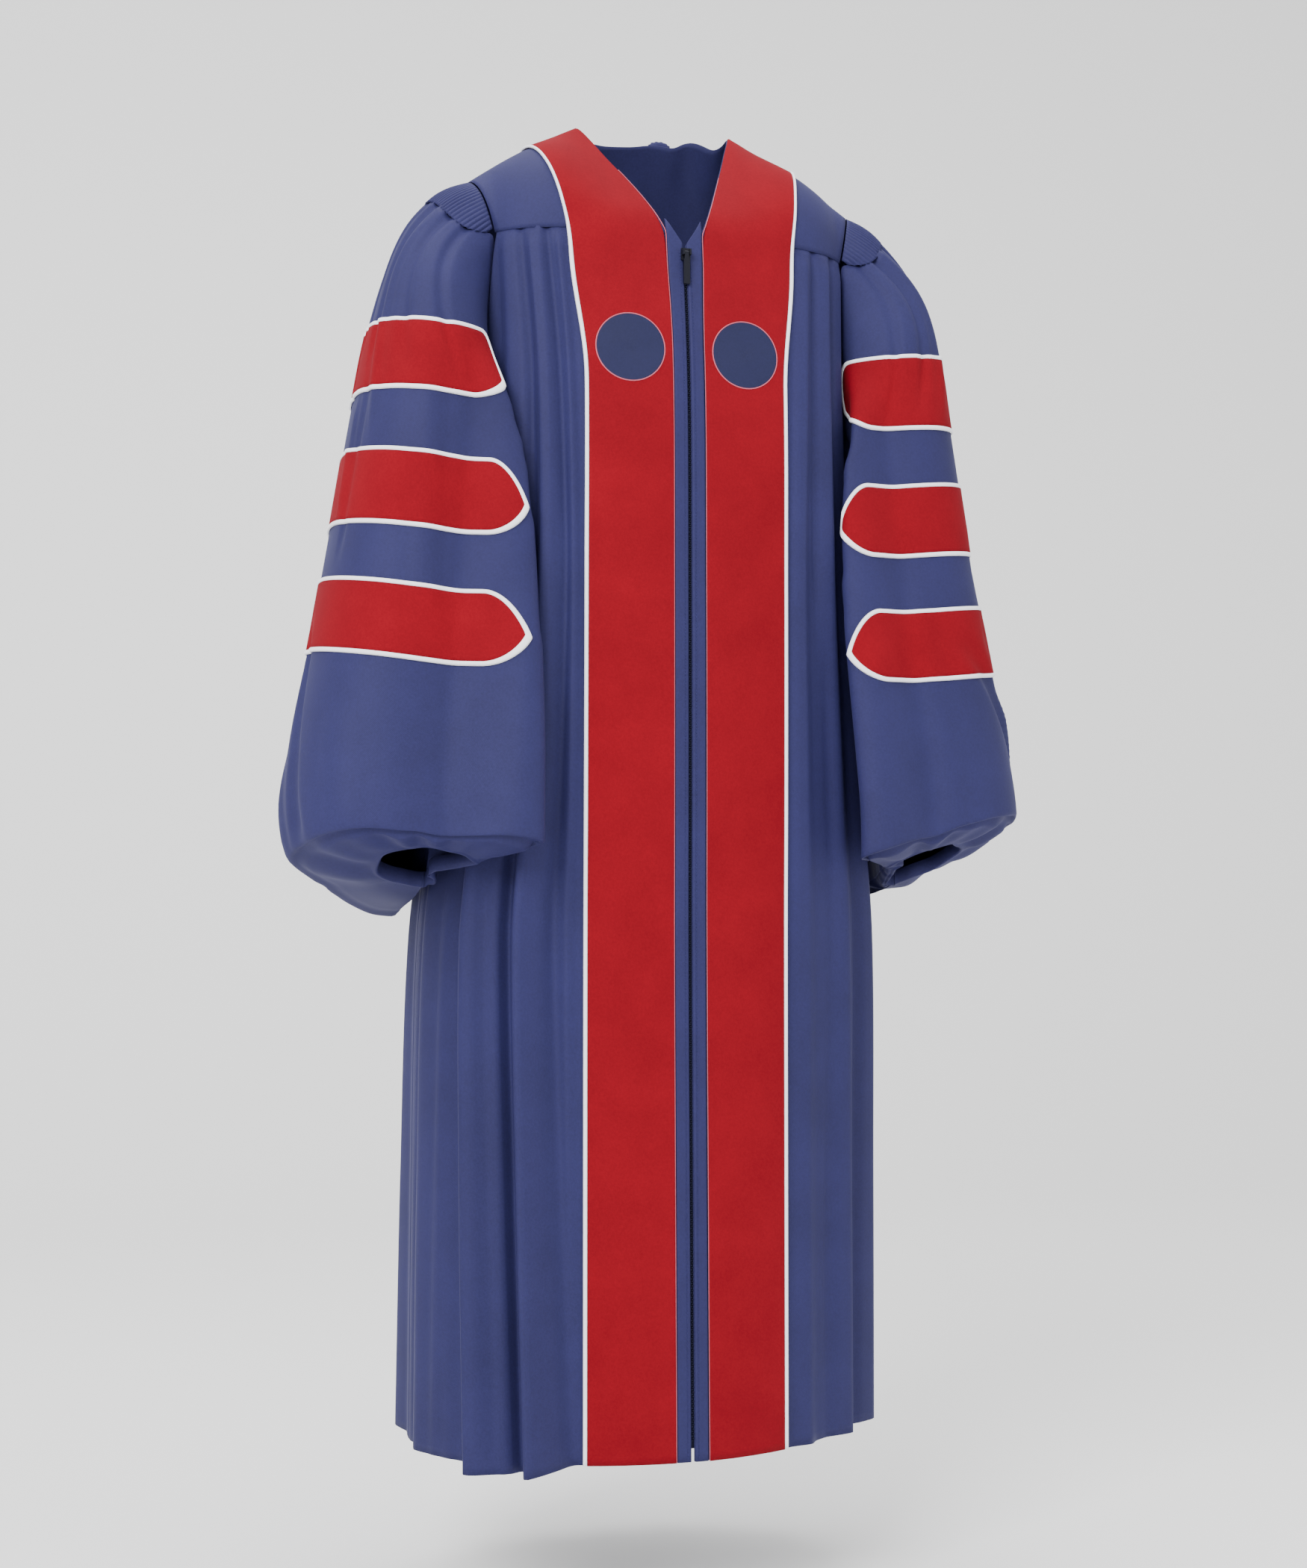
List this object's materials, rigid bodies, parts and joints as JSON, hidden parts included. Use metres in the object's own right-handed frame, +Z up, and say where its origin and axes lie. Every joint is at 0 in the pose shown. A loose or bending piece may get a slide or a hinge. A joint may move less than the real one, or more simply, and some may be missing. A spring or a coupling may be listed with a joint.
{
  "type": "graduation gown",
  "caption": "Full-length graduation gown held on the shoulders, with velvet front panels, bell sleeves with velvet bars, piped edges and a front zip.",
  "frame": {"origin": "midway between the two points where the neck edge meets the shoulder line, at their height", "axes": "+Z up along the centre of the body, -Y out of the front, +X to the wearer's left"},
  "size_m": [0.7777, 0.4286, 1.3931],
  "materials": {
    "navy_cloth": "satin",
    "red_velvet": "velvet",
    "white_piping": "satin",
    "patch_cloth": "embroidered",
    "zip_tape": "woven",
    "zip_metal": "satin"
  },
  "bodies": {
    "gown": {"back": "navy_cloth", "bar_1_left": "red_velvet", "bar_1_right": "red_velvet", "bar_2_left": "red_velvet", "bar_2_right": "red_velvet", "bar_3_left": "red_velvet", "bar_3_right": "red_velvet", "bar_piping_1_left": "white_piping", "bar_piping_1_right": "white_piping", "bar_piping_2_left": "white_piping", "bar_piping_2_right": "white_piping", "bar_piping_3_left": "white_piping", "bar_piping_3_right": "white_piping", "fluting_left": "navy_cloth", "fluting_right": "navy_cloth", "front_left": "navy_cloth", "front_right": "navy_cloth", "hood_button": "navy_cloth", "panel_left": "red_velvet", "panel_right": "red_velvet", "patch_left": "patch_cloth", "patch_right": "patch_cloth", "piping_left": "white_piping", "piping_right": "white_piping", "placket_left": "navy_cloth", "placket_right": "navy_cloth", "sleeve_bottom_left": "navy_cloth", "sleeve_bottom_right": "navy_cloth", "sleeve_left": "navy_cloth", "sleeve_right": "navy_cloth", "yoke": "navy_cloth", "zip_slider": "zip_metal", "zip_tape": "zip_tape"},
    "tab": {"pull_tab": "zip_metal"}
  },
  "joints": [
    {"name": "pull_tab_swing", "type": "hinge", "parent": "gown", "child": "tab", "pos_m": [0, -0.13574, -0.1635], "axis": [-1, 0, 0], "range_deg": [0, 150]}
  ]
}
